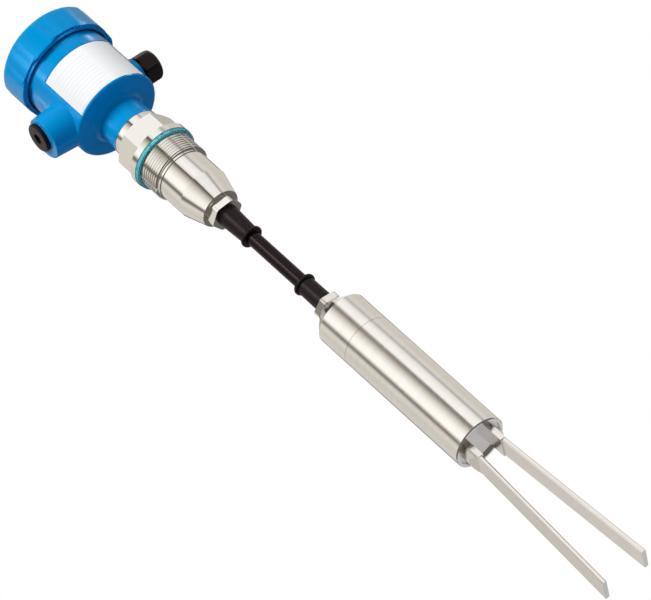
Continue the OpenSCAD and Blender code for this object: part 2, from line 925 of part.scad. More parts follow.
module status_leds() {
    lens_h = 2.4;
    color([0.35, 0.75, 0.35])
        on_head()
            for (i = [-1 : 1])
                translate([i * led_spacing, led_y, insert_top_z])
                    union() {
                        cylinder(h = lens_h, d = led_d);
                        translate([0, 0, lens_h])
                            intersection() {
                                sphere(d = led_d, $fn = 32);
                                cylinder(h = led_d, d = led_d + 1);
                            }
                    }
}

// Rope adapter, rope and its glands

module rope_adapter() {
    outline = [
        [0, z_thread_end], [adapter_d / 2, z_thread_end], [adapter_d / 2, z_cone],
        [cone_end_d / 2, z_cone_end], [0, z_cone_end]
    ];
    color(steel)
        difference() {
            union() {
                rotate_extrude()
                    polygon(outline);
                translate([0, 0, z_thread_end - 1])
                    cylinder(h = joint_l + 1, d = joint_d);
            }
            translate([0, 0, z_cone_end])
                cylinder(h = joint_l + cone_l + adapter_l + 1, d = rope_d + 4 * seat_gap);
            translate([0, 0, z_cone_end - 1])
                cylinder(h = nut_thread_l + ferrule_l + 1 + seat_gap, d = nut_thread_d + 2 * seat_gap);
        }
}

// Gland nut that clamps the rope: its hexagon starts at the origin and hangs down from its thread
module rope_nut(af, turn, neck) {
    neck_step = 0.8;
    color(steel)
        difference() {
            union() {
                translate([0, 0, -nut_hex_h])
                    intersection() {
                        rotate([0, 0, turn])
                            hex(af, nut_hex_h);
                        cylinder(h = nut_hex_h, d = af / cos(30) - 2 * nut_corner_cut);
                    }
                translate([0, 0, -1])
                    cylinder(h = neck + 1, d = af - 2 * neck_step);
                translate([0, 0, neck - 0.5])
                    cylinder(h = nut_thread_l + 0.5, d = nut_thread_d);
            }
            translate([0, 0, -nut_hex_h - 1])
                cylinder(h = nut_hex_h + 1 + neck, d = nut_bore_d);
            translate([0, 0, -nut_hex_h])
                cylinder(h = nut_hex_h + neck + nut_thread_l + 1, d = rope_d + 4 * seat_gap);
        }
}

module upper_nut() {
    translate([0, 0, z_upper_nut])
        rope_nut(nut_af, 0, nut_neck_l);
}

module lower_nut() {
    translate([0, 0, z_lower_nut])
        mirror([0, 0, 1])
            rope_nut(lower_nut_af, lower_nut_turn, lower_neck_l);
}

// Split ring that grips the rope's end above the nut
module rope_ferrule() {
    color([0.72, 0.60, 0.34])
        pipe(ferrule_d, sleeve_bore_d, ferrule_l);
}

module upper_ferrule() {
    translate([0, 0, z_cone_end + nut_thread_l])
        rope_ferrule();
}

module lower_ferrule() {
    translate([0, 0, z_sensor_top - nut_thread_l - ferrule_l])
        rope_ferrule();
}

// Bend sleeve that leaves a nut's bore at the origin and hangs down to its bead
module bend_sleeve(length, root) {
    inside = nut_hex_h - face_gap;
    bead_r = bead_d / 2;
    end_r = sleeve_end_d / 2;
    round_r = min(bead_w / 2, bead_r - end_r) * 0.9;
    outline = concat(
        [[0, inside], [root / 2, inside], [root / 2, 0], [end_r, -length + bead_w]],
        arc(bead_r - round_r, -length + bead_w - round_r, round_r, 90, 0),
        arc(bead_r - round_r, -length + round_r, round_r, 0, -90),
        [[0, -length]]
    );
    color(black)
        difference() {
            rotate_extrude()
                polygon(outline);
            translate([0, 0, -length - 1])
                cylinder(h = length + inside + 2, d = sleeve_bore_d);
        }
}

module upper_sleeve() {
    translate([0, 0, z_upper_nut_end])
        bend_sleeve(upper_sleeve_l, sleeve_root_d);
}

module lower_sleeve() {
    translate([0, 0, z_lower_nut_top])
        mirror([0, 0, 1])
            bend_sleeve(lower_sleeve_l, sleeve_end_d + 0.6);
}

module rope() {
    color(black)
        translate([0, 0, rope_end_z])
            cylinder(h = rope_top_z - rope_end_z, d = rope_d);
}

// Sensor

module sensor_head() {
    outline = [
        [0, z_sensor_top], [lower_corner_d / 2, z_sensor_top], [tube_d / 2, z_shoulder],
        [tube_d / 2, z_seam], [tube_bore_d / 2 - seat_gap, z_seam],
        [tube_bore_d / 2 - seat_gap, z_seam - tube_socket_l], [0, z_seam - tube_socket_l]
    ];
    color(steel)
        difference() {
            rotate_extrude()
                polygon(outline);
            translate([0, 0, z_sensor_top - nut_thread_l - ferrule_l - seat_gap])
                cylinder(h = nut_thread_l + ferrule_l + 1, d = nut_thread_d + 2 * seat_gap);
            translate([0, 0, z_seam - tube_socket_l - 1])
                cylinder(h = sensor_head_l + shoulder_h + tube_socket_l, d = head_way_d);
        }
}

module sensor_tube() {
    rim = 0.8;
    wall = tube_wall;
    outline = [
        [tube_d / 2 - wall, z_seam], [tube_d / 2, z_seam], [tube_d / 2, z_rim + rim],
        [tube_d / 2 - rim, z_rim], [tube_d / 2 - wall, z_rim]
    ];
    color(steel)
        rotate_extrude()
            polygon(outline);
}

module fork() {
    ring_d = tube_bore_d - 2 * seat_gap;
    groove_w = 0.9;
    groove_depth = 0.4;
    color([0.84, 0.82, 0.78])
        difference() {
            union() {
                translate([0, 0, z_membrane])
                    cylinder(h = membrane_t, d = ring_d);
                translate([0, 0, z_membrane])
                    pipe(ring_d, ring_d - 2 * fork_ring_wall, fork_ring_h);
                translate([0, 0, z_membrane])
                    cylinder(h = membrane_t + hub_h, d = hub_d);
                for (side = [0, 180])
                    rotate([0, 0, side])
                        tine();
            }
            translate([0, 0, z_membrane - 1])
                pipe(ring_d - fork_ring_wall, ring_d - fork_ring_wall - 2 * groove_w, groove_depth + 1);
            translate([0, 0, stack_z - hub_h + 0.6])
                cylinder(h = hub_h, d = drive_bolt_d + 2 * seat_gap);
        }
}

// One tine on the +X side: a round-backed root and a flat blade that leans out
module tine() {
    blade_l = (z_membrane - z_tip) / cos(tine_lean);
    root_w = tine_w + 1;
    root_in = tine_root_x - tine_t / 2;
    step_l = root_r * 2;
    intersection() {
        difference() {
            translate([0, 0, z_membrane - root_l])
                intersection() {
                    cylinder(h = root_l + membrane_t / 2, r = root_r);
                    translate([root_in, -root_w / 2, -1])
                        cube([root_r, root_w, root_l + membrane_t + 2]);
                }
            translate([tine_root_x + tine_t / 2, -step_l / 2, z_membrane - root_l])
                rotate([0, atan(root_step / (root_r - tine_root_x)) - 90, 0])
                    mirror([0, 0, 1])
                        cube([step_l, step_l, step_l]);
        }
        translate([-root_r, -root_r, z_membrane - root_l])
            cube([4 * root_r, 2 * root_r, root_l + membrane_t]);
    }
    difference() {
        translate([tine_root_x, 0, z_membrane])
            rotate([0, -tine_lean, 0])
                translate([0, 0, -blade_l - 4])
                    linear_extrude(height = blade_l + 4)
                        polygon(cut_corners(tine_t / 2, tine_w / 2, tine_chamfer));
        translate([-tube_d, -tube_d, z_tip - tube_d])
            cube([2 * tube_d, 2 * tube_d, tube_d]);
        translate([-tube_d, -tube_d, z_membrane])
            cube([2 * tube_d, 2 * tube_d, tube_d]);
    }
}

// Drive inside the tube

module drive_ring(d, t) {
    pipe(d, drive_bolt_d + 4 * seat_gap, t);
}

module drive_insulators() {
    color([0.92, 0.90, 0.84]) {
        translate([0, 0, stack_z])
            drive_ring(piezo_d, insulator_t);
        translate([0, 0, top_insulator_z])
            drive_ring(piezo_d, insulator_t);
    }
}

module piezo_rings() {
    color([0.55, 0.50, 0.42])
        for (i = [0 : piezo_count - 1])
            translate([0, 0, piezo_z + contact_t + i * piezo_pitch])
                drive_ring(piezo_d, piezo_t);
}

module contact_washers() {
    color([0.85, 0.70, 0.36])
        for (i = [0 : piezo_count])
            translate([0, 0, piezo_z + i * piezo_pitch])
                drive_ring(piezo_d + 0.8, contact_t);
}

module drive_bolt() {
    top = drive_nut_z + drive_nut_h + 2;
    foot = stack_z - hub_h + 0.6;
    color(steel)
        translate([0, 0, foot])
            cylinder(h = top - foot, d = drive_bolt_d);
}

module drive_nut() {
    color(steel)
        translate([0, 0, drive_nut_z])
            difference() {
                hex(drive_nut_af, drive_nut_h);
                translate([0, 0, -1])
                    cylinder(h = drive_nut_h + 2, d = drive_bolt_d + 2 * seat_gap);
            }
}

module board_carrier() {
    color([0.90, 0.88, 0.80])
        difference() {
            translate([0, 0, carrier_z])
                pipe(tube_bore_d - 2 * seat_gap, head_way_d, carrier_h);
            translate([-board_w / 2 - seat_gap, -board_t / 2 - seat_gap, carrier_z - 1])
                cube([board_w + 2 * seat_gap, board_t + 2 * seat_gap, board_slot_depth + 1 + seat_gap]);
        }
}

module sensor_board() {
    color([0.05, 0.40, 0.22])
        translate([-board_w / 2, -board_t / 2, carrier_z + board_slot_depth - board_l])
            cube([board_w, board_t, board_l]);
}

process_connection();
process_gasket();
swivel_ring();
neck_seal();
retaining_ring();
housing();
nameplate();
cover();
cover_seal();
blind_plug();
plug_seal();
gland_body();
gland_gasket();
gland_seal();
gland_nut();
electronics_insert();
insert_screws();
terminal_block();
terminal_screws();
terminal_cages();
switch_bank();
mode_slider();
density_slider();
status_leds();
rope_adapter();
upper_nut();
upper_ferrule();
upper_sleeve();
rope();
lower_sleeve();
lower_ferrule();
lower_nut();
sensor_head();
sensor_tube();
fork();
drive_insulators();
piezo_rings();
contact_washers();
drive_bolt();
drive_nut();
board_carrier();
sensor_board();
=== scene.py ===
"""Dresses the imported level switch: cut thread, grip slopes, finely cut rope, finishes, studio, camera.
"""
import json
import math

import bpy
from mathutils import Matrix, Vector

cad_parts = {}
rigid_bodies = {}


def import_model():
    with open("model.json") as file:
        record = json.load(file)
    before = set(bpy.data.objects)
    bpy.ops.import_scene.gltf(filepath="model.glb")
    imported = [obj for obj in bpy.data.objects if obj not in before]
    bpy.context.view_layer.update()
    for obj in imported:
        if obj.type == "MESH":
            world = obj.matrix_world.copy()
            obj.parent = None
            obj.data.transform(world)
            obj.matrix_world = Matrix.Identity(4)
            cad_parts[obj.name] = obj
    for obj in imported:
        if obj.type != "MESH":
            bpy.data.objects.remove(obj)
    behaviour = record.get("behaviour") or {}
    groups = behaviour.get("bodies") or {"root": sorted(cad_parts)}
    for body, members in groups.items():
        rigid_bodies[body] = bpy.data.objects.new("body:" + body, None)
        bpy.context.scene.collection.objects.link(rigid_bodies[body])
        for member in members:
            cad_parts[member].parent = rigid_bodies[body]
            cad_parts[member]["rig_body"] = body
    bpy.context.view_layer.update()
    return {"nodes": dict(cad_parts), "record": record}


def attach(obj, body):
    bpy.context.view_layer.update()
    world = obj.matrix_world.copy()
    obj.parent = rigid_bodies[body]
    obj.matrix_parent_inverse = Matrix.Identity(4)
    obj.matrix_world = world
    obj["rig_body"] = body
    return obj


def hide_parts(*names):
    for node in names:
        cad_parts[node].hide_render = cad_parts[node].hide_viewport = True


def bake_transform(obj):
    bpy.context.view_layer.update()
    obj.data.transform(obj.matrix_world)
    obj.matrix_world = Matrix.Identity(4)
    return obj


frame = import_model()
nodes = frame["nodes"]
scene = bpy.context.scene
scene.view_settings.view_transform = "Standard"

# Sizes repeated from the part's source, in metres
THREAD_R = 0.0239
THREAD_L = 0.0182
THREAD_PITCH = 0.002309
THREAD_DEPTH = 0.00148
ROPE_R = 0.0057
ROPE_TOP = -0.043
ROPE_END = -0.2142
WELD_Z = -0.2334
HEAD_TURN = math.radians(6)
PLATE_HALF = math.radians(53.5)
PLATE_LOW = 0.0608
PLATE_H = 0.0436
COVER_R = 0.0422
COVER_TOP = 0.1463
GRIP_PADS = 6
GRIP_FOOT = 0.1209
GRIP_STEP = 0.0012
GRIP_EDGE_R = 0.004
GRIP_MIDDLE = math.radians(-109)
GRIP_HALF = math.radians(12)
GRIP_SIDE = math.radians(9)

# Sizes of the studio, in metres
FLOOR_Z = -0.56
DOME_R = 6.0
DOME_Z = -0.2


# Mesh helpers

def leave_edit_mode():
    """Goes back to object mode."""
    if bpy.context.object and bpy.context.object.mode != "OBJECT":
        bpy.ops.object.mode_set(mode="OBJECT")


def pick(obj):
    """Makes one piece the only selected and active one."""
    leave_edit_mode()
    bpy.ops.object.select_all(action="DESELECT")
    obj.select_set(True)
    bpy.context.view_layer.objects.active = obj


def edit_all(obj):
    """Opens a piece for editing with all of it selected."""
    pick(obj)
    bpy.ops.object.mode_set(mode="EDIT")
    bpy.ops.mesh.select_all(action="SELECT")


def pick_by_turn(obj, turn):
    """Selects the points of the piece in editing that stand at one angle round the axis."""
    near = math.radians(0.5)
    bpy.ops.mesh.select_mode(type="VERT")
    bpy.ops.mesh.select_all(action="DESELECT")
    leave_edit_mode()
    for point in obj.data.vertices:
        point.select = abs(math.atan2(point.co.y, point.co.x) - turn) < near
    bpy.ops.object.mode_set(mode="EDIT")


def smooth_edges(obj, degrees):
    """Shades a piece smoothly across edges flatter than an angle."""
    pick(obj)
    bpy.ops.object.shade_smooth_by_angle(angle=math.radians(degrees), keep_sharp_edges=False)


def merged_copy(node, name):
    """A copy of a CAD node whose faces are joined, so that it can be cut and shaded smoothly."""
    pick(nodes[node])
    bpy.ops.object.duplicate()
    copy = bpy.context.object
    copy.name = name
    copy.data.name = name
    for key in list(copy.keys()):
        del copy[key]
    copy.parent = None
    copy.matrix_world = Matrix.Identity(4)
    bpy.ops.mesh.customdata_custom_splitnormals_clear()
    edit_all(copy)
    bpy.ops.mesh.remove_doubles(threshold=1e-6)
    leave_edit_mode()
    return copy


def stand_for(obj, node):
    """Puts a new piece in a node's place: on the node's body, with the node hidden."""
    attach(obj, nodes[node]["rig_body"])
    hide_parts(node)


# Node helpers for the finishes

class Finish:
    """A material with one principled shader, whose other nodes are added by name."""

    def __init__(self, name):
        self.material = bpy.data.materials.new(name)
        self.material.use_nodes = True
        self.tree = self.material.node_tree
        self.tree.nodes.clear()
        self.out = self.tree.nodes.new("ShaderNodeOutputMaterial")
        self.shader = self.tree.nodes.new("ShaderNodeBsdfPrincipled")
        self.link(self.shader.outputs["BSDF"], self.out.inputs["Surface"])
        self.place = self.tree.nodes.new("ShaderNodeTexCoord").outputs["Object"]

    def link(self, a, b):
        self.tree.links.new(a, b)

    def feed(self, socket, value):
        if isinstance(value, (int, float)):
            socket.default_value = value
        elif isinstance(value, tuple):
            socket.default_value = value if len(value) == len(socket.default_value) else value + (1.0,)
        else:
            self.link(value, socket)

    def set(self, **values):
        for name, value in values.items():
            self.feed(self.shader.inputs[name.replace("_", " ")], value)

    def math(self, kind, a, b=0.0):
        node = self.tree.nodes.new("ShaderNodeMath")
        node.operation = kind
        for socket, value in zip(node.inputs, (a, b)):
            self.feed(socket, value)
        return node.outputs[0]

    def parts(self):
        node = self.tree.nodes.new("ShaderNodeSeparateXYZ")
        self.link(self.place, node.inputs[0])
        return node.outputs

    def stretched(self, x, y, z):
        node = self.tree.nodes.new("ShaderNodeVectorMath")
        node.operation = "MULTIPLY"
        self.link(self.place, node.inputs[0])
        node.inputs[1].default_value = (x, y, z)
        return node.outputs[0]

    def noise(self, scale, detail=2.0, rough=0.5, vector=None):
        node = self.tree.nodes.new("ShaderNodeTexNoise")
        self.link(vector or self.place, node.inputs["Vector"])
        node.inputs["Scale"].default_value = scale
        node.inputs["Detail"].default_value = detail
        node.inputs["Roughness"].default_value = rough
        return node.outputs["Fac"]

    def span(self, value, low, high, from_low=0.0, from_high=1.0):
        node = self.tree.nodes.new("ShaderNodeMapRange")
        self.feed(node.inputs["Value"], value)
        node.inputs["From Min"].default_value = from_low
        node.inputs["From Max"].default_value = from_high
        node.inputs["To Min"].default_value = low
        node.inputs["To Max"].default_value = high
        return node.outputs["Result"]

    def ramp(self, value, stops):
        node = self.tree.nodes.new("ShaderNodeValToRGB")
        self.feed(node.inputs["Fac"], value)
        ramp = node.color_ramp
        while len(ramp.elements) < len(stops):
            ramp.elements.new(0.5)
        for element, (position, colour) in zip(ramp.elements, stops):
            element.position = position
            element.color = colour + (1.0,)
        return node.outputs["Color"]

    def mix(self, factor, a, b):
        node = self.tree.nodes.new("ShaderNodeMix")
        node.data_type = "RGBA"
        self.feed(node.inputs["Factor"], factor)
        self.feed(node.inputs[6], a)
        self.feed(node.inputs[7], b)
        return node.outputs[2]

    def bump(self, height, strength, distance):
        node = self.tree.nodes.new("ShaderNodeBump")
        node.inputs["Strength"].default_value = strength
        node.inputs["Distance"].default_value = distance
        self.feed(node.inputs["Height"], height)
        return node.outputs["Normal"]


def srgb(r, g, b):
    """Linear colour of a screen colour."""
    def one(v):
        v /= 255.0
        return v / 12.92 if v <= 0.04045 else ((v + 0.055) / 1.055) ** 2.4
    return (one(r), one(g), one(b))


def shade(colour, factor):
    """A colour made lighter or darker."""
    return tuple(min(1.0, c * factor) for c in colour)


# Finishes

def moulded_plastic(name, colour, rough, spread=0.06, grain=0.00002, grain_scale=2600.0, specular=0.35):
    """Moulded plastic: small shifts of tone and a fine grain."""
    f = Finish(name)
    cloud = f.noise(60.0, 3.0)
    fine = f.noise(grain_scale, 2.0)
    tone = f.ramp(cloud, [(0.3, shade(colour, 1.0 - spread)), (0.7, shade(colour, 1.0 + spread))])
    f.set(Base_Color=tone, Roughness=f.span(cloud, rough - 0.04, rough + 0.05, 0.3, 0.7))
    f.set(Specular_IOR_Level=specular)
    f.set(Normal=f.bump(fine, 0.25, grain))
    return f


def blue_plastic():
    """Glossy blue of the housing and the cover."""
    f = moulded_plastic("blue_plastic", (0.0, 0.296, 0.64), 0.20, spread=0.03, specular=0.30)
    f.set(Specular_Tint=(0.12, 0.60, 1.0))
    return f.material


def black_plastic():
    """Dull black of the plug, the gland and the sleeves."""
    f = moulded_plastic("black_plastic", (0.0105, 0.0058, 0.0062), 0.40, spread=0.12, grain=0.000003,
                        specular=0.2)
    f.set(Specular_Tint=(1.0, 0.86, 0.84))
    return f.material


def turned_steel():
    """Turned stainless steel: fine rings round the axis, and a weld line on the sensor."""
    f = Finish("turned_steel")
    z = f.parts()[2]
    rings = f.noise(1.0, 2.0, 0.6, f.stretched(40.0, 40.0, 2400.0))
    broad = f.noise(1.0, 2.0, 0.5, f.stretched(12.0, 12.0, 220.0))
    tone = f.ramp(broad, [(0.3, (0.885, 0.865, 0.83)), (0.7, (0.915, 0.895, 0.86))])
    off = f.math("ABSOLUTE", f.math("SUBTRACT", z, WELD_Z))
    weld = f.span(off, 1.0, 0.0, 0.0001, 0.0005)
    f.set(Base_Color=f.mix(weld, tone, (0.60, 0.575, 0.54)))
    f.set(Metallic=1.0)
    f.set(Roughness=f.span(rings, 0.09, 0.14, 0.3, 0.7))
    f.set(Anisotropic=0.5, Anisotropic_Rotation=0.25)
    tangent = f.tree.nodes.new("ShaderNodeTangent")
    tangent.direction_type = "RADIAL"
    tangent.axis = "Z"
    f.set(Tangent=tangent.outputs[0])
    f.set(Normal=f.bump(rings, 0.02, 0.00002))
    return f.material


def plain_steel():
    """Milled steel on nuts and screws."""
    f = Finish("plain_steel")
    cloud = f.noise(160.0, 3.0)
    fine = f.noise(1.0, 2.0, 0.5, f.stretched(3000.0, 3000.0, 300.0))
    f.set(Base_Color=f.ramp(cloud, [(0.3, (0.80, 0.775, 0.74)), (0.7, (0.88, 0.855, 0.82))]))
    f.set(Metallic=1.0)
    f.set(Roughness=f.span(fine, 0.18, 0.30, 0.3, 0.7))
    f.set(Normal=f.bump(fine, 0.08, 0.00002))
    return f.material


def fork_steel():
    """Ground steel of the fork, with its marks along the tines."""
    f = Finish("fork_steel")
    marks = f.noise(1.0, 2.0, 0.5, f.stretched(600.0, 600.0, 10.0))
    cloud = f.noise(60.0, 3.0)
    f.set(Base_Color=f.ramp(cloud, [(0.3, (0.85, 0.815, 0.775)), (0.7, (0.89, 0.855, 0.815))]))
    f.set(Metallic=1.0)
    f.set(Roughness=f.span(marks, 0.20, 0.26, 0.3, 0.7))
    return f.material


def gasket_fibre():
    """Pressed fibre gasket, mottled."""
    f = Finish("gasket_fibre")
    fibres = f.noise(900.0, 4.0, 0.7)
    spots = f.noise(260.0, 2.0)
    tone = f.ramp(fibres, [(0.32, srgb(62, 153, 157)), (0.5, srgb(98, 193, 194)),
                           (0.72, srgb(153, 223, 219))])
    dark = f.span(spots, 0.0, 1.0, 0.60, 0.74)
    f.set(Base_Color=f.mix(dark, tone, srgb(46, 125, 130)))
    f.set(Roughness=f.span(fibres, 0.55, 0.75))
    f.set(Specular_IOR_Level=0.3)
    f.set(Normal=f.bump(fibres, 0.4, 0.0001))
    return f.material


def black_rubber():
    """Black rubber of the seals."""
    f = moulded_plastic("black_rubber", (0.010, 0.008, 0.008), 0.44, spread=0.15, grain=0.00004,
                        grain_scale=1800.0, specular=0.3)
    return f.material


def rope_jacket():
    """Extruded jacket: drawn lines along the rope."""
    f = Finish("rope_jacket")
    lines = f.noise(1.0, 1.0, 0.5, f.stretched(700.0, 700.0, 6.0))
    f.set(Base_Color=f.ramp(lines, [(0.3, (0.0082, 0.0036, 0.0042)), (0.7, (0.0120, 0.0056, 0.0062))]))
    f.set(Roughness=f.span(lines, 0.24, 0.29, 0.3, 0.7))
    f.set(Specular_IOR_Level=0.15, Specular_Tint=(1.0, 0.84, 0.82))
    return f.material


def label_foil():
    """Printed foil: a white field, a grey field to the right of it and ruled lines."""
    f = Finish("label_foil")
    x, y, z = f.parts()
    turn = f.math("SUBTRACT", f.math("ARCTAN2", x, f.math("MULTIPLY", y, -1.0)), HEAD_TURN)
    along = f.span(turn, 0.0, 1.0, -PLATE_HALF, PLATE_HALF)
    up = f.span(z, 0.0, 1.0, PLATE_LOW, PLATE_LOW + PLATE_H)
    grey_field = f.span(along, 0.0, 1.0, 0.575, 0.580)
    paper = f.noise(1500.0, 3.0)
    ground = f.mix(grey_field, (0.91, 0.89, 0.845), (0.88, 0.865, 0.825))
    rows = f.math("FRACT", f.math("MULTIPLY", up, 13.0))
    rule = f.span(f.math("ABSOLUTE", f.math("SUBTRACT", rows, 0.5)), 1.0, 0.0, 0.03, 0.07)
    inside = f.math("MULTIPLY", f.span(along, 0.0, 1.0, 0.06, 0.065), f.span(along, 1.0, 0.0, 0.53, 0.535))
    inside = f.math("MULTIPLY", inside, f.span(up, 1.0, 0.0, 0.85, 0.855))
    printed = f.math("MULTIPLY", f.math("MULTIPLY", rule, inside), 0.45)
    f.set(Base_Color=f.mix(printed, ground, (0.45, 0.46, 0.48)))
    f.set(Roughness=f.span(paper, 0.38, 0.5))
    f.set(Specular_IOR_Level=0.35)
    f.set(Normal=f.bump(paper, 0.15, 0.00002))
    return f.material


def brass():
    """Brass of the terminals."""
    f = Finish("brass")
    cloud = f.noise(220.0, 3.0)
    f.set(Base_Color=f.ramp(cloud, [(0.3, (0.70, 0.49, 0.20)), (0.7, (0.80, 0.60, 0.28))]))
    f.set(Metallic=1.0, Roughness=f.span(cloud, 0.22, 0.36))
    f.set(Normal=f.bump(f.noise(2500.0), 0.1, 0.00002))
    return f.material


def circuit_board():
    """Glass-fibre board with its weave and pale tracks."""
    f = Finish("circuit_board")
    weave = f.noise(1.0, 2.0, 0.5, f.stretched(2200.0, 2200.0, 2200.0))
    tracks = f.noise(1.0, 0.0, 0.5, f.stretched(500.0, 500.0, 120.0))
    line = f.span(f.math("ABSOLUTE", f.math("SUBTRACT", tracks, 0.5)), 1.0, 0.0, 0.02, 0.04)
    green = f.ramp(weave, [(0.3, (0.008, 0.105, 0.045)), (0.7, (0.014, 0.150, 0.066))])
    f.set(Base_Color=f.mix(f.math("MULTIPLY", line, 0.6), green, (0.05, 0.30, 0.14)))
    f.set(Roughness=f.span(weave, 0.30, 0.45))
    f.set(Normal=f.bump(weave, 0.2, 0.00003))
    return f.material


def clear_lens():
    """Clear green plastic of the status lamps."""
    f = moulded_plastic("lens", (0.12, 0.52, 0.16), 0.16, spread=0.05, grain=0.00001)
    f.set(Transmission_Weight=0.35)
    return f.material


finishes = {
    "blue_plastic": blue_plastic(),
    "label_foil": label_foil(),
    "black_plastic": black_plastic(),
    "rope_jacket": rope_jacket(),
    "black_rubber": black_rubber(),
    "gasket_fibre": gasket_fibre(),
    "turned_steel": turned_steel(),
    "fork_steel": fork_steel(),
    "plain_steel": plain_steel(),
    "grey_plastic": moulded_plastic("grey_plastic", (0.045, 0.050, 0.054), 0.45).material,
    "brass": brass(),
    "switch_plastic": moulded_plastic("switch_plastic", (0.36, 0.020, 0.018), 0.36).material,
    "slider_plastic": moulded_plastic("slider_plastic", (0.80, 0.80, 0.76), 0.38).material,
    "lens": clear_lens(),
    "insulator": moulded_plastic("insulator", (0.80, 0.76, 0.66), 0.40).material,
    "piezo_ceramic": moulded_plastic("piezo_ceramic", (0.26, 0.21, 0.14), 0.55, spread=0.12).material,
    "circuit_board": circuit_board(),
}
slot_of = {entry["node"]: entry["material_slot"] for entry in frame["record"]["subparts"]}


def dress(obj, slot):
    """Gives a piece the finish of a slot."""
    obj.data.materials.clear()
    obj.data.materials.append(finishes[slot])


for node, obj in nodes.items():
    dress(obj, slot_of[node])


# New pieces

def smoothed(node, degrees):
    """The same solid with its small flats shaded as one round surface."""
    piece = merged_copy(node, node + "_smooth")
    dress(piece, slot_of[node])
    smooth_edges(piece, degrees)
    stand_for(piece, node)
    return piece


def thread_cutter():
    """A long V-shaped coil that cuts the pipe thread."""
    crest = 0.00024
    past = 0.0009
    lead = 0.0012
    turns = 9
    steps = 72
    outer = THREAD_R + past
    half = (THREAD_PITCH - 2 * crest) / 2 * (past + THREAD_DEPTH) / THREAD_DEPTH
    start = -THREAD_L - lead
    bpy.ops.object.select_all(action="DESELECT")
    bpy.ops.mesh.primitive_plane_add(size=0.001)
    cutter = bpy.context.object
    cutter.name = "thread_cutter"
    edit_all(cutter)
    bpy.ops.mesh.merge(type="CENTER")
    bpy.ops.transform.translate(value=(outer, 0, start - half))
    depth = outer - THREAD_R + THREAD_DEPTH
    for step in ((0, 0, 2 * half), (-depth, 0, -half)):
        bpy.ops.mesh.extrude_vertices_move(TRANSFORM_OT_translate={"value": step})
    bpy.ops.mesh.select_all(action="SELECT")
    bpy.ops.mesh.edge_face_add()
    bpy.ops.mesh.delete(type="ONLY_FACE")
    leave_edit_mode()
    coil = cutter.modifiers.new("coil", "SCREW")
    coil.axis = "Z"
    coil.angle = math.tau
    coil.screw_offset = THREAD_PITCH
    coil.iterations = turns
    coil.steps = steps
    coil.render_steps = steps
    coil.use_normal_calculate = True
    pick(cutter)
    bpy.ops.object.modifier_apply(modifier="coil")
    edit_all(cutter)
    bpy.ops.mesh.fill_holes(sides=3)
    bpy.ops.mesh.select_all(action="SELECT")
    bpy.ops.mesh.normals_make_consistent(inside=False)
    leave_edit_mode()
    return cutter


def threaded_connection():
    """The process connection with its pipe thread cut into it."""
    piece = merged_copy("process_connection", "process_connection_threaded")
    dress(piece, slot_of["process_connection"])
    cutter = thread_cutter()
    cut = piece.modifiers.new("thread", "BOOLEAN")
    cut.operation = "DIFFERENCE"
    cut.solver = "EXACT"
    cut.object = cutter
    pick(piece)
    bpy.ops.object.modifier_apply(modifier="thread")
    pick(cutter)
    bpy.ops.object.delete()
    smooth_edges(piece, 32)
    stand_for(piece, "process_connection")
    return piece


def bending_rope():
    """The jacketed rope, cut finely along its length, in the place of the rope node."""
    bpy.ops.object.select_all(action="DESELECT")
    bpy.ops.mesh.primitive_circle_add(vertices=48, radius=ROPE_R, fill_type="NGON",
                                      location=(0, 0, ROPE_TOP))
    rope = bpy.context.object
    rope.name = "rope_jacketed"
    bpy.ops.object.transform_apply(location=True)
    edit_all(rope)
    steps = 86
    step = (0, 0, (ROPE_END - ROPE_TOP) / steps)
    for _ in range(steps):
        bpy.ops.mesh.extrude_region_move(TRANSFORM_OT_translate={"value": step})
    bpy.ops.mesh.select_all(action="SELECT")
    bpy.ops.mesh.normals_make_consistent(inside=False)
    leave_edit_mode()
    smooth_edges(rope, 40)
    dress(rope, "rope_jacket")
    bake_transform(rope)
    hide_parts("rope")
    return rope


